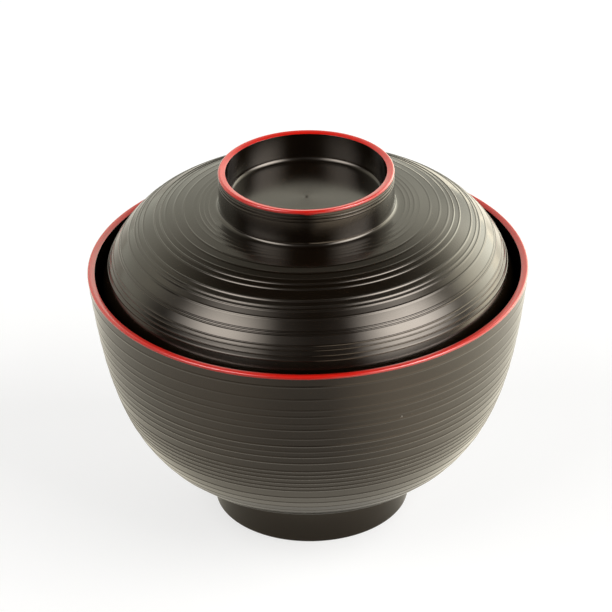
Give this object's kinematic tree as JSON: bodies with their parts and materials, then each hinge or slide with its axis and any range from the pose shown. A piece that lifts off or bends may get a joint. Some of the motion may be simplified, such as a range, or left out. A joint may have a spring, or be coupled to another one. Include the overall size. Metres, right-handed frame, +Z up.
{
  "type": "lidded soup bowl",
  "caption": "Round lacquer soup bowl on a foot ring, with a domed lid that sits inside its lip and carries a ring knob; fine raised lines all round and a red lacquer line on each lip.",
  "frame": {"origin": "centre of the foot ring's underside, on the table", "axes": "+Z up along the axis of the bowl and lid; the part is a body of revolution, so X and Y are any two square directions"},
  "size_m": [0.118, 0.118, 0.1002],
  "materials": {
    "black_lacquer": "satin black lacquer over a moulded shell, with fine raised lines",
    "red_lacquer": "brushed red lacquer, semi-gloss"
  },
  "bodies": {
    "bowl": {"bowl": "black_lacquer", "bowl_lip_coat": "red_lacquer"},
    "lid": {"lid": "black_lacquer", "knob_lip_coat": "red_lacquer"}
  },
  "joints": [
    {"name": "lid_lift", "type": "slide", "parent": "bowl", "child": "lid", "axis": [0, 0, 1], "range_m": [0, 0.08]}
  ]
}
